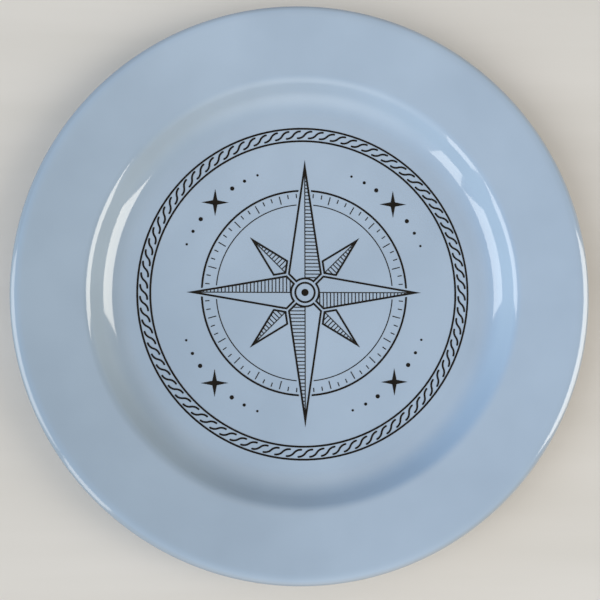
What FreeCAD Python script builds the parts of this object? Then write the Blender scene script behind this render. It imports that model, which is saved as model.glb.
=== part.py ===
"""Souvenir plate: a round, rimmed stoneware plate with a pale blue glaze and a compass printed in its well.

The plate's origin is on its axis, at the surface that it stands on. +Z is up, and +Y points to the print's
north. Sizes are in millimetres and angles in degrees. Three kinds of piece make up the plate:

- the fired stoneware body, bare only on the foot ring that it stands on
- the glaze, a coat of glass that the bare foot ring divides in two
- the print, fired onto the glaze as separate islands of brown enamel
"""

import FreeCAD, Part
import math
import os

V = FreeCAD.Vector
AXIS = V(0, 0, 1)
CENTRE = V(0, 0, 0)
FULL_TURN = 360.0

# The plate's outside, over the glaze.
PLATE_DIAMETER = 267.0
FACE_HEIGHT = 8.0  # the flat of the well, above the table
GLAZE_THICKNESS = 0.35

# The stoneware body's section, from the well outwards.
WELL_FLAT_RADIUS = 83.6
COVE_RADIUS = 16.5  # between the well's flat and its wall
WALL_SLOPE = 46.0
RIM_CORNER_RADIUS = 99.8  # from the axis to where the lines of wall and rim cross
SHOULDER_RADIUS = 7.0  # between the wall and the rim
RIM_SLOPE = 8.0
CLAY_THICKNESS = 4.6
FLOOR_THICKNESS = 4.6
CROWN_WIDTH = 3.65  # from where the rim turns over to the lip
CROWN_RADIUS = 12.0
CROWN_FALL = 12.0  # the rim's slope beyond the crown, downwards
LIP_TOP_RADIUS = 1.8
LIP_UNDER_RADIUS = 1.5

# The underside and its foot ring.
BACK_SLOPE = 24.0  # of the underside between the foot ring and the wall
BACK_COVE_RADIUS = 20.0
FOOT_OUTER_RADIUS = 84.5
FOOT_INNER_RADIUS = 79.0
FOOT_HEIGHT = 3.6  # on its outer side
FOOT_DRAFT = 8.0
FOOT_EDGE_RADIUS = 1.0
FOOT_FILLET_RADIUS = 2.5
WIPED_HEIGHT = 1.4  # the foot ring is wiped clean of glaze up to here

# The print's enamel and its strokes.
ENAMEL_THICKNESS = 0.12
LINE = 0.9
FINE_LINE = 0.45
PRINT_GAP = 0.8  # bare glaze between neighbouring islands

# The rope border around the print.
BORDER_OUTER_RADIUS = 78.4  # to the middle of each line
BORDER_INNER_RADIUS = 72.4
STRAND_COUNT = 88
STRAND_LEAN = 6.6  # how far a strand runs along the border

# The compass.
RING_RADIUS = 48.5
RING_INNER_RADIUS = 41.8
TICK_STEP = 5
LONG_TICK_STEP = 15
TICK_OUTER_RADIUS = 47.1
TICK_LENGTH = 2.0
LONG_TICK_LENGTH = 3.9
MERIDIAN_POINT_LENGTH = 66.0  # north and south
PARALLEL_POINT_LENGTH = 58.0  # east and west
CARDINAL_HALF_WIDTH = 8.5
ORDINAL_POINT_LENGTH = 38.5
ORDINAL_HALF_WIDTH = 7.6
HATCH_PITCH = 1.7
HUB_GAP_RADIUS = 6.2
HUB_RING_RADIUS = 4.6
HUB_DOT_RADIUS = 1.7

# The small ornaments between the compass and its border.
SPARKLE_ORBIT = 60.0
SPARKLE_LENGTH = 6.4
SPARKLE_WAIST = 1.5
BEAD_COUNT = 3  # on each side of a sparkle
BEAD_FIRST_ANGLE = 10.0
BEAD_STEP = 6.5
BEAD_RADIUS = 1.0
BEAD_SHRINK = 0.75  # each bead's radius against the last one's

CARDINALS = (
    ("north_point", 0.0, MERIDIAN_POINT_LENGTH),
    ("west_point", 90.0, PARALLEL_POINT_LENGTH),
    ("south_point", 180.0, MERIDIAN_POINT_LENGTH),
    ("east_point", 270.0, PARALLEL_POINT_LENGTH),
)
ORDINALS = (
    ("north_west_point", 45.0),
    ("south_west_point", 135.0),
    ("south_east_point", 225.0),
    ("north_east_point", 315.0),
)

SHARP = 2  # makeOffset2D's join that keeps corners


def tangent(angle):
    return math.tan(math.radians(angle))


def sine(angle):
    return math.sin(math.radians(angle))


def cosine(angle):
    return math.cos(math.radians(angle))


def closed_wire(edges):
    return Part.Wire(Part.__sortEdges__(edges))


def rounded_outline(corners):
    """A face inside the corners (radius, height, rounding), where an arc rounds each one smoothly."""
    points = [V(radius, 0, height) for radius, height, _ in corners]
    edges = []
    joints = []
    for here, (_, _, rounding) in enumerate(corners):
        corner = points[here]
        back = (points[here - 1] - corner).normalize()
        ahead = (points[(here + 1) % len(points)] - corner).normalize()
        if not rounding:
            joints.append((corner, corner))
            continue
        half = back.getAngle(ahead) / 2
        reach = rounding / math.tan(half)
        start = corner + back * reach
        end = corner + ahead * reach
        middle = corner + (back + ahead).normalize() * (rounding / math.sin(half) - rounding)
        edges.append(Part.Arc(start, middle, end).toShape())
        joints.append((start, end))
    for here, (start, _) in enumerate(joints):
        last_end = joints[here - 1][1]
        edges.append(Part.LineSegment(last_end, start).toShape())
    return Part.Face(closed_wire(edges))


def body_section():
    """The stoneware body's section. It runs on past the axis, so that an offset keeps its shape there."""
    past_axis = -10.0
    lip_radius = PLATE_DIAMETER / 2 - GLAZE_THICKNESS
    floor = FACE_HEIGHT - GLAZE_THICKNESS
    recess = floor - FLOOR_THICKNESS
    wall_foot = WELL_FLAT_RADIUS + COVE_RADIUS * tangent(WALL_SLOPE / 2)
    wall_top = floor + (RIM_CORNER_RADIUS - wall_foot) * tangent(WALL_SLOPE)
    crown = lip_radius - CROWN_WIDTH
    crown_height = wall_top + (crown - RIM_CORNER_RADIUS) * tangent(RIM_SLOPE)
    lip_top = crown_height - CROWN_WIDTH * tangent(CROWN_FALL)
    lip_under = crown_height + CROWN_WIDTH * tangent(RIM_SLOPE) - CLAY_THICKNESS / cosine(RIM_SLOPE)
    # The underside's shoulder lies one thickness from both the wall and the rim.
    spread = CLAY_THICKNESS / (1 + cosine(WALL_SLOPE - RIM_SLOPE))
    shoulder_under = RIM_CORNER_RADIUS + spread * (sine(WALL_SLOPE) + sine(RIM_SLOPE))
    shoulder_under_height = wall_top - spread * (cosine(WALL_SLOPE) + cosine(RIM_SLOPE))
    foot_top = FOOT_OUTER_RADIUS + FOOT_HEIGHT * tangent(FOOT_DRAFT)
    # Where the line of the wall's underside meets the gentler line up from the foot ring.
    rise = FOOT_HEIGHT - shoulder_under_height
    back_corner = rise + shoulder_under * tangent(WALL_SLOPE) - foot_top * tangent(BACK_SLOPE)
    back_corner /= tangent(WALL_SLOPE) - tangent(BACK_SLOPE)
    back_corner_height = FOOT_HEIGHT + (back_corner - foot_top) * tangent(BACK_SLOPE)
    return rounded_outline(
        [
            (past_axis, floor, 0),
            (wall_foot, floor, COVE_RADIUS),
            (RIM_CORNER_RADIUS, wall_top, SHOULDER_RADIUS),
            (crown, crown_height, CROWN_RADIUS),
            (lip_radius, lip_top, LIP_TOP_RADIUS),
            (lip_radius, lip_under, LIP_UNDER_RADIUS),
            (shoulder_under, shoulder_under_height, SHOULDER_RADIUS - CLAY_THICKNESS),
            (back_corner, back_corner_height, BACK_COVE_RADIUS),
            (foot_top, FOOT_HEIGHT, FOOT_FILLET_RADIUS),
            (FOOT_OUTER_RADIUS, 0, FOOT_EDGE_RADIUS),
            (FOOT_INNER_RADIUS, 0, FOOT_EDGE_RADIUS),
            (FOOT_INNER_RADIUS - recess * tangent(FOOT_DRAFT), recess, FOOT_FILLET_RADIUS),
            (past_axis, recess, 0),
        ]
    )


def section_box(low_radius, high_radius, low, high):
    """A rectangle in the plane of the section."""
    corners = [
        V(low_radius, 0, low),
        V(high_radius, 0, low),
        V(high_radius, 0, high),
        V(low_radius, 0, high),
        V(low_radius, 0, low),
    ]
    return Part.Face(Part.makePolygon(corners))


def turned(section):
    """The solid that a section sweeps around the plate's axis."""
    return section.revolve(CENTRE, AXIS, FULL_TURN)


def ceramic_parts():
    """The body, the glaze coat outside the foot ring, and the glaze inside it."""
    section = body_section()
    coated = section.makeOffset2D(GLAZE_THICKNESS)
    half = section_box(0, PLATE_DIAMETER, -FACE_HEIGHT, PLATE_DIAMETER)
    wiped = section_box(
        FOOT_INNER_RADIUS - FOOT_HEIGHT, FOOT_OUTER_RADIUS + FOOT_HEIGHT, -FACE_HEIGHT, WIPED_HEIGHT
    )
    body = section.common(half).Faces[0]
    glaze = coated.common(half).cut(section).cut(wiped)
    recess_glaze, glaze_coat = sorted(glaze.Faces, key=lambda face: face.BoundBox.XMax)
    return {
        "stoneware_body": turned(body),
        "glaze_coat": turned(glaze_coat),
        "glaze_in_foot_recess": turned(recess_glaze),
    }


def disc(radius, centre=CENTRE):
    return Part.Face(Part.Wire(Part.makeCircle(radius, centre)))


def ring(radius, width):
    """A flat ring, its radius taken to the middle of the stroke."""
    return disc(radius + width / 2).cut(disc(radius - width / 2))


def polygon(corners):
    points = [V(x, y, 0) for x, y in corners]
    return Part.Face(Part.makePolygon(points + points[:1]))


def bar(low_y, high_y, width):
    """An upright bar across the Y axis."""
    return polygon(
        [(-width / 2, low_y), (width / 2, low_y), (width / 2, high_y), (-width / 2, high_y)]
    )


def swung(shape, angle):
    """A copy turned anticlockwise about the plate's centre."""
    copy = shape.copy()
    copy.rotate(CENTRE, AXIS, angle)
    return copy


def enamel(shape):
    """The enamel that flat faces print on the well, with the faces that overlap run into one island."""
    first, *others = [face.extrude(V(0, 0, ENAMEL_THICKNESS)) for face in shape.Faces]
    printed = first.multiFuse(others).removeSplitter() if others else first
    printed.translate(V(0, 0, FACE_HEIGHT))
    return printed


def kite(length, half_width):
    """A compass point's whole outline, with its tail at the centre and its tip up the Y axis."""
    outline = polygon([(0, 0), (half_width, half_width), (0, length), (-half_width, half_width)])
    return outline.makeOffset2D(-PRINT_GAP / 2, SHARP)


def grown(shape):
    """A shape with the gap that its neighbours leave around it."""
    return shape.makeOffset2D(PRINT_GAP)


def engraved_point(outline, length):
    """A compass point as it is printed: an outline, a spine, and short hatching on its shaded half."""
    border = outline.cut(outline.makeOffset2D(-LINE, SHARP))
    spine = bar(0, length, FINE_LINE)
    hatches = []
    height = HATCH_PITCH
    while height < length:
        hatches.append(
            polygon(
                [
                    (0, height),
                    (length, height),
                    (length, height + FINE_LINE),
                    (0, height + FINE_LINE),
                ]
            )
        )
        height += HATCH_PITCH
    shading = Part.makeCompound(hatches).common(outline)
    return Part.makeCompound([border, spine.common(outline), shading])


def compass_points():
    """The eight points. The cardinal ones lie over the ordinal ones, and all stop short of the hub."""
    hub = disc(HUB_GAP_RADIUS)
    outlines = {
        angle: kite(length, CARDINAL_HALF_WIDTH).cut(hub).Faces[0] for _, angle, length in CARDINALS
    }
    covers = [swung(grown(outline), angle) for angle, outline in outlines.items()]
    parts = {}
    for name, angle, length in CARDINALS:
        parts[name] = swung(engraved_point(outlines[angle], length), angle)
    for name, angle in ORDINALS:
        hidden = [swung(cover, -angle) for cover in covers]
        outline = kite(ORDINAL_POINT_LENGTH, ORDINAL_HALF_WIDTH).cut(hidden)
        outline = max(outline.Faces, key=lambda face: face.Area)
        parts[name] = swung(engraved_point(outline, ORDINAL_POINT_LENGTH), angle)
    return parts, covers


def degree_ticks():
    ticks = []
    for angle in range(0, int(FULL_TURN), TICK_STEP):
        length = TICK_LENGTH if angle % LONG_TICK_STEP else LONG_TICK_LENGTH
        ticks.append(swung(bar(TICK_OUTER_RADIUS - length, TICK_OUTER_RADIUS, FINE_LINE), angle))
    return Part.makeCompound(ticks)


def rope_strand():
    """One S-shaped strand of the rope, at the top of the border."""
    middle = (BORDER_OUTER_RADIUS + BORDER_INNER_RADIUS) / 2
    reach = (BORDER_OUTER_RADIUS - BORDER_INNER_RADIUS) / 2 - LINE - FINE_LINE
    lean = STRAND_LEAN / 2
    bulge = reach / 5
    upper = Part.Arc(
        V(0, middle, 0), V(lean / 2 - bulge, middle + reach / 2 + bulge, 0), V(lean, middle + reach, 0)
    )
    lower = Part.Arc(
        V(0, middle, 0), V(bulge - lean / 2, middle - reach / 2 - bulge, 0), V(-lean, middle - reach, 0)
    )
    path = Part.Wire([lower.toShape(), upper.toShape()])
    return Part.Face(path.makeOffset2D(LINE / 2))


def sparkle():
    """A four-tipped star on the Y axis, turned so that it stands upright once it is swung to a diagonal."""
    corners = []
    for quarter in range(0, int(FULL_TURN), 90):
        for angle, reach in ((quarter, SPARKLE_LENGTH), (quarter + 45, SPARKLE_WAIST)):
            corners.append((reach * cosine(angle), reach * sine(angle)))
    star = swung(polygon(corners), 45)
    star.translate(V(0, SPARKLE_ORBIT, 0))
    return star


def bead_arc():
    """Beads that dwindle away on both sides of a sparkle."""
    beads = []
    for n in range(BEAD_COUNT):
        bead = disc(BEAD_RADIUS * BEAD_SHRINK**n, V(0, SPARKLE_ORBIT, 0))
        spread = BEAD_FIRST_ANGLE + n * BEAD_STEP
        beads += [swung(bead, spread), swung(bead, -spread)]
    return Part.makeCompound(beads)


def ornaments():
    """A sparkle and its beads on each diagonal."""
    diagonals = [angle for _, angle in ORDINALS]
    return {
        "sparkles": Part.makeCompound([swung(sparkle(), angle) for angle in diagonals]),
        "beads": Part.makeCompound([swung(bead_arc(), angle) for angle in diagonals]),
    }


def printed_parts():
    """Every node of the print, as flat shapes."""
    parts, covers = compass_points()
    parts["compass_outer_ring"] = ring(RING_RADIUS, LINE).cut(covers)
    parts["compass_inner_ring"] = ring(RING_INNER_RADIUS, FINE_LINE).cut(covers)
    parts["degree_ticks"] = degree_ticks().cut(covers)
    parts["hub_ring"] = ring(HUB_RING_RADIUS, LINE)
    parts["hub_dot"] = disc(HUB_DOT_RADIUS)
    parts["border_outer_line"] = ring(BORDER_OUTER_RADIUS, LINE)
    parts["border_inner_line"] = ring(BORDER_INNER_RADIUS, LINE)
    strand = rope_strand()
    step = FULL_TURN / STRAND_COUNT
    parts["rope_strands"] = Part.makeCompound([swung(strand, n * step) for n in range(STRAND_COUNT)])
    parts.update(ornaments())
    return parts


def main():
    os.makedirs("parts", exist_ok=True)
    parts = ceramic_parts()
    for name, shape in printed_parts().items():
        parts[name] = enamel(shape)
    for name, shape in parts.items():
        shape.exportStep(f"parts/{name}.step")
        print(f"{name}: {len(shape.Solids)} solids, {shape.Volume:.1f} mm3, valid {shape.isValid()}")


main()
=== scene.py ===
"""Looks for the souvenir plate: a glossy pale blue glaze over buff clay, with a brown compass on it.

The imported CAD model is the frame. Its three ceramic nodes are replaced by smooth lathed surfaces of the
same section, and its printed nodes stay, with a better material. Lengths are in metres, in the CAD's own
frame.
"""

import math

import bpy
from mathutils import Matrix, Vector


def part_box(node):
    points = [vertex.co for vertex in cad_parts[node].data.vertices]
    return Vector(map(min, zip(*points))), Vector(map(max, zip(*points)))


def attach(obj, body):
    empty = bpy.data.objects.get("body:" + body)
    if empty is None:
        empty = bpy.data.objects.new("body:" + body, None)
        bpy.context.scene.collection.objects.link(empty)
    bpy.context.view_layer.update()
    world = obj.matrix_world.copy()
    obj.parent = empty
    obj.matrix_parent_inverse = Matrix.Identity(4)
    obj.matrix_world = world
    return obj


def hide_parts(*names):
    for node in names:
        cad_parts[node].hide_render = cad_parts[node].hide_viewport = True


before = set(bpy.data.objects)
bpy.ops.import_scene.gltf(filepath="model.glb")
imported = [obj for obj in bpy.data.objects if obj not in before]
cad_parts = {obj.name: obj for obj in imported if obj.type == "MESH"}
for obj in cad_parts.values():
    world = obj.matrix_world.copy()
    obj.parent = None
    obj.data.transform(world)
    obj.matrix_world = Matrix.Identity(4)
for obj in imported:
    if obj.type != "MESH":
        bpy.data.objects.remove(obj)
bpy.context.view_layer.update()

BODY_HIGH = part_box("stoneware_body")[1]
COAT_LOW, COAT_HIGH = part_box("glaze_coat")
RECESS_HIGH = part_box("glaze_in_foot_recess")[1]

MM = 0.001

# The ceramic's section. The places that the frame gives are read from it.
GLAZE = COAT_HIGH.x - BODY_HIGH.x
CLAY_LIP = BODY_HIGH.x
CLAY_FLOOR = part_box("hub_dot")[0].z - GLAZE
CLAY_RECESS = RECESS_HIGH.z
WIPED_HEIGHT = COAT_LOW.z
WELL_FLAT_RADIUS = 83.6 * MM
COVE_RADIUS = 16.5 * MM
WALL_SLOPE = math.radians(46)
RIM_CORNER_RADIUS = 99.8 * MM
SHOULDER_RADIUS = 7 * MM
RIM_SLOPE = math.radians(8)
CLAY_THICKNESS = 4.6 * MM
CROWN_WIDTH = 3.65 * MM
CROWN_RADIUS = 12 * MM
CROWN_FALL = math.radians(12)
LIP_TOP_RADIUS = 1.8 * MM
LIP_UNDER_RADIUS = 1.5 * MM
BACK_SLOPE = math.radians(24)
BACK_COVE_RADIUS = 20 * MM
FOOT_OUTER_RADIUS = 84.5 * MM
FOOT_INNER_RADIUS = 79 * MM
FOOT_HEIGHT = 3.6 * MM
FOOT_DRAFT = math.radians(8)
FOOT_EDGE_RADIUS = 1 * MM
FOOT_FILLET_RADIUS = 2.5 * MM

# The glaze thins to a rounded bead where it ends.
BEAD_LENGTH = 2 * GLAZE
BEAD_REACH = 3 * GLAZE
BEAD_STEP = GLAZE / 5

# How finely the section is drawn and turned.
ARC_STEP = math.radians(2.5)
STRAIGHT_STEP = 3 * MM
TURN_STEPS = 288
ON_AXIS = 1e-7

# Painted shade: the glaze is darkened towards one side, given in degrees from +X, where that side gets
# less light. At the lip it is browned where the glaze breaks thin, and darkened as painted shade for the
# lip's dark edge.
PAINTED_SHADE_SIDE = 195
PAINTED_SHADE_TINT = (0.83, 0.85, 0.85, 1)
LIP_BREAK_AND_SHADE_START = COAT_HIGH.x - 2.8 * MM
LIP_BREAK_AND_SHADE_END = COAT_HIGH.x - 0.8 * MM
LIP_BREAK_AND_SHADE_TINT = (0.86, 0.78, 0.72, 1)
GLASS_IOR = 1.6

# The camera, and the place on the lip's plane that it looks at.
LENS = 50.0
SENSOR = 36.0
VIEW_WIDTH = 273.8 * MM  # across the picture, at the lip
AIM = Vector((-3.46 * MM, -4.30 * MM, COAT_HIGH.z))
CAMERA_LEAN_X = math.radians(-4.6)
CAMERA_LEAN_Y = math.radians(-3.1)

# The floor. It is round, so that no corner of it shows from any side.
FLOOR_RADIUS = 14.0
FLOOR_SIDES = 180
FULL_TURN = 360

# Light. Each glow of the room fades with distance from its middle by this exponent.
SOFTBOX_DISTANCE = 2.5
LEFT_ELEVATION = 42.5
LEFT_HEIGHT = 30
LEFT_COLOUR = (2.10, 2.05, 1.95)
GLOW_FOCUS = 7
BACKDROP = (0.74, 0.74, 0.73, 1.0)


def srgb(red, green, blue):
    """A colour given in 8-bit sRGB, as Blender's linear colour."""
    linear = []
    for channel in (red, green, blue):
        value = channel / 255
        linear.append(value / 12.92 if value <= 0.04045 else ((value + 0.055) / 1.055) ** 2.4)
    return (*linear, 1.0)


def towards(azimuth, elevation):
    """The direction at these angles in degrees. Azimuth 0 is along +X, and 90 along +Y."""
    azimuth = math.radians(azimuth)
    elevation = math.radians(elevation)
    return Vector(
        (
            math.cos(azimuth) * math.cos(elevation),
            math.sin(azimuth) * math.cos(elevation),
            math.sin(elevation),
        )
    )


# ---------------------------------------------------------------- the section


def section_corners():
    """The clay's corners and their rounding, from the well out over the lip and back under the foot."""
    wall_foot = WELL_FLAT_RADIUS + COVE_RADIUS * math.tan(WALL_SLOPE / 2)
    wall_top = CLAY_FLOOR + (RIM_CORNER_RADIUS - wall_foot) * math.tan(WALL_SLOPE)
    crown = CLAY_LIP - CROWN_WIDTH
    crown_height = wall_top + (crown - RIM_CORNER_RADIUS) * math.tan(RIM_SLOPE)
    lip_top = crown_height - CROWN_WIDTH * math.tan(CROWN_FALL)
    lip_under = crown_height + CROWN_WIDTH * math.tan(RIM_SLOPE) - CLAY_THICKNESS / math.cos(RIM_SLOPE)
    spread = CLAY_THICKNESS / (1 + math.cos(WALL_SLOPE - RIM_SLOPE))
    under = RIM_CORNER_RADIUS + spread * (math.sin(WALL_SLOPE) + math.sin(RIM_SLOPE))
    under_height = wall_top - spread * (math.cos(WALL_SLOPE) + math.cos(RIM_SLOPE))
    foot_top = FOOT_OUTER_RADIUS + FOOT_HEIGHT * math.tan(FOOT_DRAFT)
    back = FOOT_HEIGHT - under_height + under * math.tan(WALL_SLOPE) - foot_top * math.tan(BACK_SLOPE)
    back /= math.tan(WALL_SLOPE) - math.tan(BACK_SLOPE)
    back_height = FOOT_HEIGHT + (back - foot_top) * math.tan(BACK_SLOPE)
    recess_edge = FOOT_INNER_RADIUS - CLAY_RECESS * math.tan(FOOT_DRAFT)
    return [
        (Vector((0, CLAY_FLOOR)), 0),
        (Vector((wall_foot, CLAY_FLOOR)), COVE_RADIUS),
        (Vector((RIM_CORNER_RADIUS, wall_top)), SHOULDER_RADIUS),
        (Vector((crown, crown_height)), CROWN_RADIUS),
        (Vector((CLAY_LIP, lip_top)), LIP_TOP_RADIUS),
        (Vector((CLAY_LIP, lip_under)), LIP_UNDER_RADIUS),
        (Vector((under, under_height)), SHOULDER_RADIUS - CLAY_THICKNESS),
        (Vector((back, back_height)), BACK_COVE_RADIUS),
        (Vector((foot_top, FOOT_HEIGHT)), FOOT_FILLET_RADIUS),
        (Vector((FOOT_OUTER_RADIUS, 0)), FOOT_EDGE_RADIUS),
        (Vector((FOOT_INNER_RADIUS, 0)), FOOT_EDGE_RADIUS),
        (Vector((recess_edge, CLAY_RECESS)), FOOT_FILLET_RADIUS),
        (Vector((0, CLAY_RECESS)), 0),
    ]


def arc_points(corner, back, ahead, rounding):
    """Points along the arc that rounds a corner, each with the direction of travel there."""
    turn = math.pi - back.angle(ahead)
    reach = rounding * math.tan(turn / 2)
    start = corner + back * reach
    side = 1 if back.cross(ahead) < 0 else -1
    steps = max(2, math.ceil(turn / ARC_STEP))
    travel = -back
    centre = start + Vector((-travel.y, travel.x)) * rounding * side
    points = []
    for n in range(steps + 1):
        angle = side * turn * n / steps
        heading = Vector(
            (
                travel.x * math.cos(angle) - travel.y * math.sin(angle),
                travel.x * math.sin(angle) + travel.y * math.cos(angle),
            )
        )
        outwards = Vector((heading.y, -heading.x)) * rounding * side
        points.append((centre + outwards, heading))
    return points


def clay_section():
    """The clay's outline as (place, outward normal), from the well's centre to the recess's centre."""
    corners = section_corners()
    path = []
    for n, (corner, rounding) in enumerate(corners):
        if n in (0, len(corners) - 1):
            other = corners[1][0] if n == 0 else corners[n - 1][0]
            heading = (other - corner if n == 0 else corner - other).normalized()
            rounded = [(corner, heading)]
        else:
            back = (corners[n - 1][0] - corner).normalized()
            ahead = (corners[n + 1][0] - corner).normalized()
            rounded = arc_points(corner, back, ahead, rounding)
        if path:
            last, heading = path[-1]
            gap = rounded[0][0] - last
            steps = max(1, math.ceil(gap.length / STRAIGHT_STEP))
            path += [(last + gap * step / steps, heading) for step in range(1, steps)]
        path += rounded
    return [(place, Vector((-heading.y, heading.x))) for place, heading in path]


def lathe(name, outline):
    """A smooth surface turned from an outline of (radius, height), closed by a fan at the axis."""
    mesh = bpy.data.meshes.new(name)
    verts = []
    rows = []
    for radius, height in outline:
        if radius < ON_AXIS:
            rows.append([len(verts)] * TURN_STEPS)
            verts.append((0, 0, height))
            continue
        rows.append([len(verts) + n for n in range(TURN_STEPS)])
        for n in range(TURN_STEPS):
            angle = 2 * math.pi * n / TURN_STEPS
            verts.append((radius * math.cos(angle), radius * math.sin(angle), height))
    faces = []
    for low, high in zip(rows, rows[1:]):
        for n in range(TURN_STEPS):
            after = (n + 1) % TURN_STEPS
            face = (low[n], high[n], high[after], low[after])
            faces.append(tuple(dict.fromkeys(face)))
    mesh.from_pydata(verts, [], faces)
    mesh.shade_smooth()
    mesh.validate()
    piece = bpy.data.objects.new(name, mesh)
    bpy.context.scene.collection.objects.link(piece)
    return piece


def glaze_outline(section):
    """The glaze's surface over a stretch of the clay, with a bead at each end that is off the axis."""
    lengths = [0.0]
    for (here, _), (after, _) in zip(section, section[1:]):
        lengths.append(lengths[-1] + (after - here).length)
    outline = []
    for (place, normal), along in zip(section, lengths):
        nearest = math.inf
        if section[0][0].x > GLAZE:
            nearest = along
        if section[-1][0].x > GLAZE:
            nearest = min(nearest, lengths[-1] - along)
        short = max(0.0, 1 - nearest / BEAD_LENGTH)
        outline.append(place + normal * GLAZE * math.sqrt(1 - short * short))
    return outline


def refined_near(section, spot):
    """The section with extra points close to one of its ends, so that the glaze's bead is round there."""
    fine = []
    for (here, normal), (after, next_normal) in zip(section, section[1:]):
        fine.append((here, normal))
        close = min((here - spot).length, (after - spot).length) < BEAD_REACH
        pieces = math.ceil((after - here).length / BEAD_STEP) if close else 1
        for n in range(1, pieces):
            share = n / pieces
            fine.append((here.lerp(after, share), normal.lerp(next_normal, share).normalized()))
    fine.append(section[-1])
    return fine


def crossing(section, height, upwards):
    """The index after which the section first passes a height, going down or coming back up."""
    for n, ((here, _), (after, _)) in enumerate(zip(section, section[1:])):
        passes = here.y < height <= after.y if upwards else here.y >= height > after.y
        if passes:
            return n
    raise ValueError("the section never passes that height")


def cut_at(section, n, height):
    """The point between n and n + 1 that is at that height."""
    (here, normal), (after, next_normal) = section[n], section[n + 1]
    share = (height - here.y) / (after.y - here.y)
    return here.lerp(after, share), normal.lerp(next_normal, share).normalized()


# ---------------------------------------------------------------- materials


class Recipe:
    """A new material with short ways to add the nodes that the finishes below share."""

    def __init__(self, name):
        self.material = bpy.data.materials.new(name)
        self.material.use_nodes = True
        self.nodes = self.material.node_tree.nodes
        self.links = self.material.node_tree.links
        self.shader = self.nodes["Principled BSDF"]
        self.place = self.nodes.new("ShaderNodeTexCoord").outputs["Object"]

    def join(self, source, target):
        self.links.new(source, target)

    def noise(self, scale, detail):
        """Clouds of about 1 / scale metres."""
        texture = self.nodes.new("ShaderNodeTexNoise")
        texture.inputs["Scale"].default_value = scale
        texture.inputs["Detail"].default_value = detail
        self.join(self.place, texture.inputs["Vector"])
        return texture.outputs["Fac"]

    def along(self, direction):
        """How far a point lies from the plate's centre in one direction."""
        share = self.nodes.new("ShaderNodeVectorMath")
        share.operation = "DOT_PRODUCT"
        share.inputs[1].default_value = direction
        self.join(self.place, share.inputs[0])
        return share.outputs["Value"]

    def radius(self):
        """How far a point is from the plate's axis."""
        flat = self.nodes.new("ShaderNodeVectorMath")
        flat.operation = "MULTIPLY"
        flat.inputs[1].default_value = (1, 1, 0)
        self.join(self.place, flat.inputs[0])
        length = self.nodes.new("ShaderNodeVectorMath")
        length.operation = "LENGTH"
        self.join(flat.outputs["Vector"], length.inputs[0])
        return length.outputs["Value"]

    def rings(self, scale, detail):
        """Irregular rings about the plate's axis, such as turning leaves."""
        texture = self.nodes.new("ShaderNodeTexNoise")
        texture.noise_dimensions = "1D"
        texture.inputs["Scale"].default_value = scale
        texture.inputs["Detail"].default_value = detail
        self.join(self.radius(), texture.inputs["W"])
        return texture.outputs["Fac"]

    def spread(self, value, low, high, low_result, high_result):
        """A value carried from one range to another, and held at the ends."""
        change = self.nodes.new("ShaderNodeMapRange")
        change.inputs["From Min"].default_value = low
        change.inputs["From Max"].default_value = high
        change.inputs["To Min"].default_value = low_result
        change.inputs["To Max"].default_value = high_result
        self.join(value, change.inputs["Value"])
        return change.outputs["Result"]

    def blend(self, share, first, second):
        """From the first colour to the second as the share grows."""
        mix = self.nodes.new("ShaderNodeMixRGB")
        self.join(share, mix.inputs["Fac"])
        mix.inputs["Color1"].default_value = first
        mix.inputs["Color2"].default_value = second
        return mix.outputs["Color"]

    def multiply_tint(self, colour, share, tint):
        """A colour multiplied by a tint, as far as the share says."""
        mix = self.nodes.new("ShaderNodeMixRGB")
        mix.blend_type = "MULTIPLY"
        self.join(share, mix.inputs["Fac"])
        self.join(colour, mix.inputs["Color1"])
        mix.inputs["Color2"].default_value = tint
        return mix.outputs["Color"]

    def relief(self, height, depth, under=None):
        """A bump as deep as the height's full range, over another bump if one is given."""
        bump = self.nodes.new("ShaderNodeBump")
        bump.inputs["Strength"].default_value = 1.0
        bump.inputs["Distance"].default_value = depth
        self.join(height, bump.inputs["Height"])
        if under:
            self.join(under, bump.inputs["Normal"])
        return bump.outputs["Normal"]

    def finish(self, colour, roughness, normal=None):
        """Joins what was made to the shader. A flat finish has no normal."""
        self.join(colour, self.shader.inputs["Base Color"])
        self.join(roughness, self.shader.inputs["Roughness"])
        if normal:
            self.join(normal, self.shader.inputs["Normal"])
        return self.material


def glaze_material():
    """Clouded pale blue, with painted shade darkening it towards one side, and browner and darker at the
    lip: glaze breaking thin there, with painted shade for the lip's dark edge.
    """
    glaze = Recipe("pale_blue_glaze")
    clouds = glaze.spread(glaze.noise(22, 3), 0.35, 0.68, 0, 1)
    colour = glaze.blend(clouds, srgb(160, 179, 203), srgb(168, 187, 211))
    # Painted shade: the glaze darkens towards one side, where less light falls, up to the full tint at
    # the plate's edge.
    painted_shade_share = glaze.spread(glaze.along(towards(PAINTED_SHADE_SIDE, 0)), 0, COAT_HIGH.x, 0, 1)
    colour = glaze.multiply_tint(colour, painted_shade_share, PAINTED_SHADE_TINT)
    # Browner where the glaze breaks thin over the lip, and darker there as painted shade for the lip's
    # dark edge.
    lip_break_and_shade = glaze.spread(glaze.radius(), LIP_BREAK_AND_SHADE_START, LIP_BREAK_AND_SHADE_END, 0, 1)
    colour = glaze.multiply_tint(colour, lip_break_and_shade, LIP_BREAK_AND_SHADE_TINT)
    roughness = glaze.spread(glaze.noise(60, 2), 0.3, 0.7, 0.07, 0.13)
    turning = glaze.relief(glaze.rings(260, 2), 0.03 * MM)
    surface = glaze.relief(glaze.noise(45, 1), 0.05 * MM, turning)
    glaze.shader.inputs["IOR"].default_value = GLASS_IOR
    glaze.shader.inputs["Coat Weight"].default_value = 1.0
    glaze.shader.inputs["Coat Roughness"].default_value = 0.02
    glaze.shader.inputs["Coat IOR"].default_value = GLASS_IOR
    return glaze.finish(colour, roughness, surface)


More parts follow.
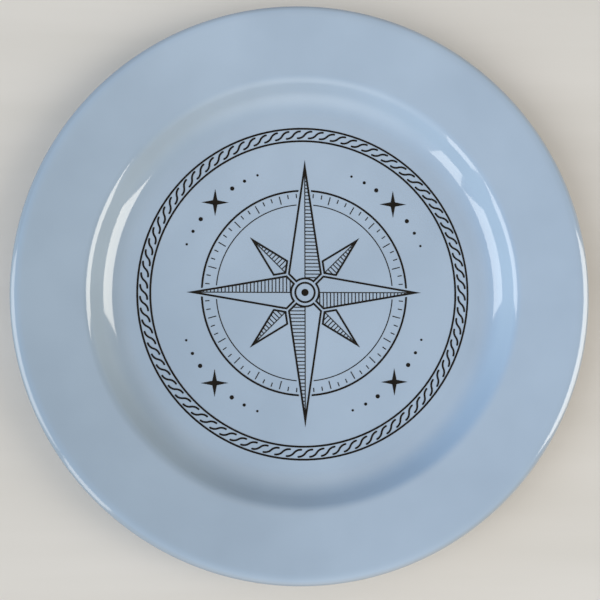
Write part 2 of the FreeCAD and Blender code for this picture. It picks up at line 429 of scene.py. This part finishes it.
def clay_material():
    """Bare, fired buff clay: sandy, specked with iron, and wiped round with a sponge."""
    clay = Recipe("bare_buff_clay")
    grain = clay.noise(900, 4)
    colour = clay.blend(clay.spread(grain, 0.3, 0.7, 0, 1), srgb(176, 158, 134), srgb(214, 200, 178))
    specks = clay.spread(clay.noise(1500, 0), 0.70, 0.76, 0, 1)
    colour = clay.multiply_tint(colour, specks, (0.35, 0.27, 0.22, 1))
    roughness = clay.spread(clay.noise(300, 2), 0.3, 0.7, 0.75, 0.95)
    wiping = clay.relief(clay.rings(1500, 2), 0.06 * MM)
    return clay.finish(colour, roughness, clay.relief(grain, 0.1 * MM, wiping))


def enamel_material():
    """Dark brown transfer enamel, with the faint mottle of a screened ink."""
    enamel = Recipe("brown_enamel")
    mottle = enamel.spread(enamel.noise(350, 3), 0.3, 0.75, 0, 1)
    colour = enamel.blend(mottle, srgb(15, 12, 8), srgb(29, 24, 18))
    roughness = enamel.spread(enamel.noise(900, 2), 0.3, 0.7, 0.4, 0.55)
    enamel.shader.inputs["Specular IOR Level"].default_value = 0.15
    return enamel.finish(colour, roughness, enamel.relief(enamel.noise(1200, 2), 0.01 * MM))


def floor_material():
    """Pale limewash with the faintest streaks along X."""
    floor = Recipe("pale_floor")
    stretch = floor.nodes.new("ShaderNodeMapping")
    stretch.inputs["Scale"].default_value = (3, 26, 1)
    floor.join(floor.place, stretch.inputs["Vector"])
    floor.place = stretch.outputs["Vector"]
    streaks = floor.spread(floor.noise(1, 4), 0.3, 0.7, 0, 1)
    colour = floor.blend(streaks, srgb(213, 207, 202), srgb(222, 216, 212))
    roughness = floor.spread(floor.noise(2, 2), 0.3, 0.7, 0.65, 0.8)
    return floor.finish(colour, roughness)


def dress(piece, material):
    """Gives a new piece its material, its named slot and the body that it rides on."""
    piece.data.materials.clear()
    piece.data.materials.append(material)
    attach(piece, "root")


# ---------------------------------------------------------------- pieces


def make_ceramic():
    clay = clay_section()
    down = crossing(clay, WIPED_HEIGHT, upwards=False)
    up = crossing(clay, WIPED_HEIGHT, upwards=True)

    body = lathe("clay_body", [place for place, _ in clay])
    dress(body, clay_material())
    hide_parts("stoneware_body")

    glaze = glaze_material()
    coat_end = cut_at(clay, down, WIPED_HEIGHT)
    coat_section = refined_near(clay[: down + 1] + [coat_end], coat_end[0])
    coat = lathe("glazed_face_and_back", glaze_outline(coat_section))
    dress(coat, glaze)
    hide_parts("glaze_coat")

    recess_start = cut_at(clay, up, WIPED_HEIGHT)
    recess_section = refined_near([recess_start] + clay[up + 1 :], recess_start[0])
    recess = lathe("glazed_foot_recess", glaze_outline(recess_section))
    dress(recess, glaze)
    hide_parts("glaze_in_foot_recess")


def dress_print():
    """The printed CAD nodes keep their shape and get the enamel's material."""
    enamel = enamel_material()
    ceramic = ("stoneware_body", "glaze_coat", "glaze_in_foot_recess")
    for name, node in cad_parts.items():
        if name in ceramic:
            continue
        node.data.materials.clear()
        node.data.materials.append(enamel)


def make_floor():
    mesh = bpy.data.meshes.new("floor")
    edge = [towards(FULL_TURN * n / FLOOR_SIDES, 0) * FLOOR_RADIUS for n in range(FLOOR_SIDES)]
    mesh.from_pydata(edge, [], [range(FLOOR_SIDES)])
    floor = bpy.data.objects.new("floor", mesh)
    floor.data.materials.append(floor_material())
    bpy.context.scene.collection.objects.link(floor)


# ---------------------------------------------------------------- light and camera


def make_softbox(name, azimuth, elevation, spread, height, colour):
    """A rectangular light aimed at the plate, sized by the angles that it fills as the plate sees it."""
    light = bpy.data.lights.new(name, "AREA")
    light.shape = "RECTANGLE"
    light.size = 2 * SOFTBOX_DISTANCE * math.tan(math.radians(spread / 2))
    light.size_y = 2 * SOFTBOX_DISTANCE * math.tan(math.radians(height / 2))
    brightness = max(colour)
    light.energy = math.pi * light.size * light.size_y * brightness
    light.color = [channel / brightness for channel in colour]
    box = bpy.data.objects.new(name, light)
    box.location = towards(azimuth, elevation) * SOFTBOX_DISTANCE
    box.rotation_euler = towards(azimuth, elevation).to_track_quat("Z", "Y").to_euler()
    box.visible_camera = False
    bpy.context.scene.collection.objects.link(box)


def add_glow(tree, direction, total, azimuth, elevation, colour):
    """Adds a soft patch of light around one direction to the total so far, and gives the new total."""
    nodes = tree.nodes
    nearness = nodes.new("ShaderNodeVectorMath")
    nearness.operation = "DOT_PRODUCT"
    nearness.inputs[1].default_value = towards(azimuth, elevation)
    tree.links.new(direction, nearness.inputs[0])
    falloff = nodes.new("ShaderNodeMath")
    falloff.operation = "MULTIPLY_ADD"
    falloff.inputs[1].default_value = GLOW_FOCUS
    falloff.inputs[2].default_value = -GLOW_FOCUS
    tree.links.new(nearness.outputs["Value"], falloff.inputs[0])
    strength = nodes.new("ShaderNodeMath")
    strength.operation = "EXPONENT"
    tree.links.new(falloff.outputs["Value"], strength.inputs[0])
    layer = nodes.new("ShaderNodeVectorMath")
    layer.operation = "MULTIPLY_ADD"
    layer.inputs[1].default_value = colour
    tree.links.new(strength.outputs["Value"], layer.inputs[0])
    if total:
        tree.links.new(total, layer.inputs[2])
    return layer.outputs["Vector"]


def make_room():
    """Soft light from the room's sides and ceiling, and a pale backdrop that only the camera sees."""
    world = bpy.data.worlds.new("room")
    world.use_nodes = True
    bpy.context.scene.world = world
    tree = world.node_tree
    direction = tree.nodes.new("ShaderNodeTexCoord").outputs["Generated"]
    light = add_glow(tree, direction, None, 180, 12, (0.91, 1.07, 1.05))
    light = add_glow(tree, direction, light, 180, 42, (0.28, 0.48, 0.76))
    light = add_glow(tree, direction, light, 225, 12, (0.55, 0.69, 0.73))
    light = add_glow(tree, direction, light, 270, 42, (1.21, 1.22, 1.20))
    light = add_glow(tree, direction, light, 315, 12, (0.45, 0.38, 0.22))
    light = add_glow(tree, direction, light, 0, 12, (0.89, 0.93, 0.88))
    light = add_glow(tree, direction, light, 45, 12, (0.33, 0.31, 0.23))
    light = add_glow(tree, direction, light, 90, 70, (0.58, 0.50, 0.38))
    light = add_glow(tree, direction, light, 135, 12, (0.23, 0.41, 0.66))
    lit = tree.nodes["Background"]
    tree.links.new(light, lit.inputs["Color"])
    backdrop = tree.nodes.new("ShaderNodeBackground")
    backdrop.inputs["Color"].default_value = BACKDROP
    seen = tree.nodes.new("ShaderNodeMixShader")
    tree.links.new(tree.nodes.new("ShaderNodeLightPath").outputs["Is Camera Ray"], seen.inputs["Fac"])
    tree.links.new(lit.outputs["Background"], seen.inputs[1])
    tree.links.new(backdrop.outputs["Background"], seen.inputs[2])
    tree.links.new(seen.outputs["Shader"], tree.nodes["World Output"].inputs["Surface"])


def make_lights():
    make_softbox("right_softbox", -4.9, 40, 26.8, 31, (3.5, 3.3, 2.9))
    make_softbox("left_softbox", 188.5, LEFT_ELEVATION, 27.7, LEFT_HEIGHT, LEFT_COLOUR)
    make_softbox("left_softbox_wing", 222.2, LEFT_ELEVATION, 9.8, LEFT_HEIGHT, LEFT_COLOUR)
    make_room()


def make_camera():
    data = bpy.data.cameras.new("camera")
    data.lens = LENS
    data.sensor_width = SENSOR
    camera = bpy.data.objects.new("camera", data)
    distance = VIEW_WIDTH * LENS / SENSOR
    back = Vector((math.tan(CAMERA_LEAN_X), math.tan(CAMERA_LEAN_Y), 1)).normalized()
    camera.location = AIM + back * distance
    camera.rotation_mode = "QUATERNION"
    camera.rotation_quaternion = Vector((0, 0, 1)).rotation_difference(back)
    bpy.context.scene.collection.objects.link(camera)
    bpy.context.scene.camera = camera


make_ceramic()
dress_print()
make_floor()
make_lights()
make_camera()
bpy.context.scene.view_settings.view_transform = "Standard"
